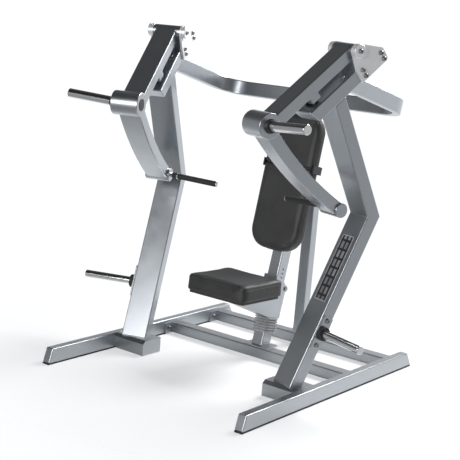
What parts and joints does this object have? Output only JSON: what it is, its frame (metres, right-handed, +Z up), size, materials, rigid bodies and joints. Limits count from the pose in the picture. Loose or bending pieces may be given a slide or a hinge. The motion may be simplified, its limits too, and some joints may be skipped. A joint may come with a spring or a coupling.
{
  "type": "chest press machine",
  "caption": "Plate-loaded seated chest press with converging swing arms, weight horns, a leaning back pad and a seat that slides on a leaning post.",
  "frame": {"origin": "on the floor, midway between the rails and midway along them", "axes": "+Z up, -Y the way the user faces, +X to the right of someone looking at the machine's front from the -Y side"},
  "size_m": [1.889, 1.644, 1.845],
  "materials": {
    "frame_paint": "satin metallic silver-grey powder coat",
    "plate_silver": "satin machined",
    "polished_steel": "bright chrome plate",
    "bolt_steel": "zinc plated",
    "black_plastic": "fine grained",
    "grey_plastic": "moulded",
    "black_rubber": "matt",
    "grip_rubber": "fine knurled",
    "black_vinyl": "grained vinyl over foam",
    "pad_board": "black painted plywood",
    "placard_face": "blank"
  },
  "bodies": {
    "frame": {"right_rail": "frame_paint", "right_foot_block": "frame_paint", "right_upright": "frame_paint", "right_top_beam": "frame_paint", "right_pivot_plates": "plate_silver", "right_pivot_shaft": "polished_steel", "right_storage_horn": "polished_steel", "right_storage_collar": "black_rubber", "left_rail": "frame_paint", "left_foot_block": "frame_paint", "left_upright": "frame_paint", "left_top_beam": "frame_paint", "left_pivot_plates": "plate_silver", "left_pivot_shaft": "polished_steel", "left_storage_horn": "polished_steel", "left_storage_collar": "black_rubber", "front_beam": "frame_paint", "rear_beam": "frame_paint", "beam_end_plates": "frame_paint", "beam_bolts": "bolt_steel", "rail_feet": "black_rubber", "rear_tube": "frame_paint", "pivot_discs": "plate_silver", "pivot_bolts": "bolt_steel", "storage_plates": "frame_paint", "storage_bolts": "bolt_steel", "placard": "placard_face", "seat_post": "frame_paint", "rear_post": "frame_paint", "post_bellows": "grey_plastic", "back_board": "pad_board", "back_pad": "black_vinyl", "back_brackets": "frame_paint", "pad_clips": "black_plastic"},
    "right_arm": {"right_upper_arm": "frame_paint", "right_boss": "frame_paint", "right_boss_cap": "black_plastic", "right_horn": "polished_steel", "right_horn_collar": "black_plastic", "right_lower_arm": "frame_paint", "right_handle_tube": "frame_paint", "right_grip_bar": "polished_steel", "right_grip_sleeve": "grip_rubber", "right_bumpers": "black_rubber"},
    "left_arm": {"left_upper_arm": "frame_paint", "left_boss": "frame_paint", "left_boss_cap": "black_plastic", "left_horn": "polished_steel", "left_horn_collar": "black_plastic", "left_lower_arm": "frame_paint", "left_handle_tube": "frame_paint", "left_grip_bar": "polished_steel", "left_grip_sleeve": "grip_rubber", "left_bumpers": "black_rubber"},
    "seat": {"seat_carriage": "frame_paint", "seat_board": "pad_board", "seat_pad": "black_vinyl", "seat_roller": "bolt_steel"},
    "seat_pin": {"seat_pin": "black_plastic"}
  },
  "joints": [
    {"name": "right_arm_swing", "type": "hinge", "parent": "frame", "child": "right_arm", "pos_m": [0.584, -0.082, 1.808], "axis": [-0.9444, 0.3289, 0], "range_deg": [0, 45]},
    {"name": "left_arm_swing", "type": "hinge", "parent": "frame", "child": "left_arm", "pos_m": [-0.584, -0.082, 1.808], "axis": [-0.9444, -0.3289, 0], "range_deg": [0, 45]},
    {"name": "seat_height", "type": "slide", "parent": "frame", "child": "seat", "axis": [0, 0.2385, 0.9711], "range_m": [0, 0.1]},
    {"name": "seat_pin_push", "type": "slide", "parent": "seat", "child": "seat_pin", "axis": [1, 0, 0], "range_m": [0, 0.016]}
  ]
}
